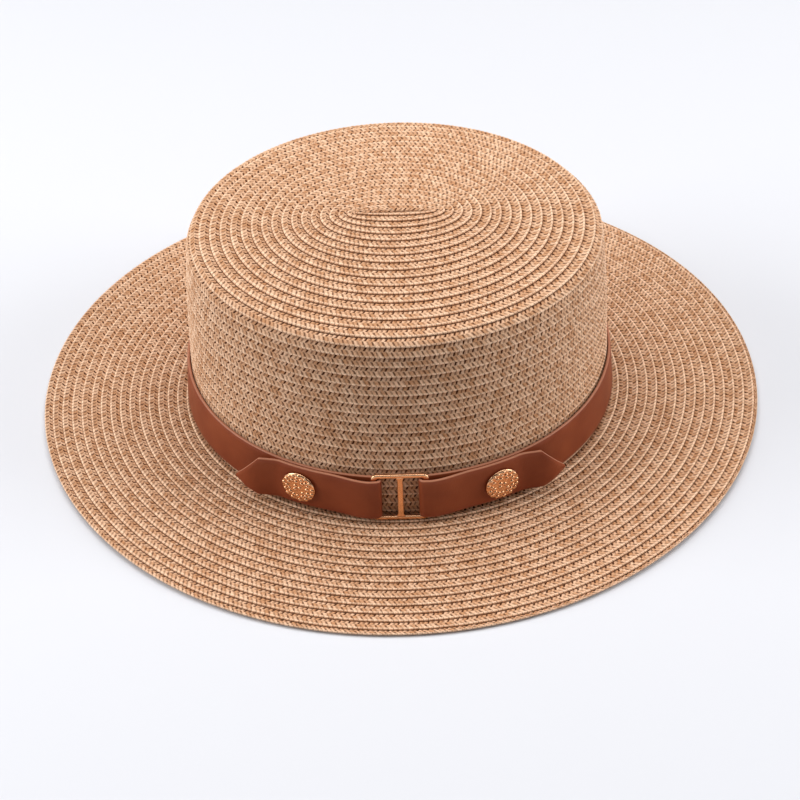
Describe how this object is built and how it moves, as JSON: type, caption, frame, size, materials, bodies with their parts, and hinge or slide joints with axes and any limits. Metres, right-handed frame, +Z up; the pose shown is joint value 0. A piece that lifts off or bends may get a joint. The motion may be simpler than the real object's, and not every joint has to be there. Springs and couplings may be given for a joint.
{
  "type": "straw hat",
  "caption": "Sewn straw hat with a flat-topped crown, a wide oval brim and a leather strap round the crown that is held at the front by a metal slide buckle and rivets.",
  "frame": {"origin": "middle of the brim's outline, on the table that the brim rests on", "axes": "+X along the long axis of the oval, +Y towards the back of the hat with the buckle at -Y, +Z up through the crown"},
  "size_m": [0.344, 0.3164, 0.1044],
  "materials": {
    "straw": "matte plaited straw",
    "leather": "smooth, satin",
    "gold_metal": "polished"
  },
  "bodies": {
    "root": {"crown": "straw", "brim": "straw", "hat_strap": "leather", "buckle": "gold_metal", "rivet_left": "gold_metal", "rivet_right": "gold_metal"}
  },
  "joints": []
}
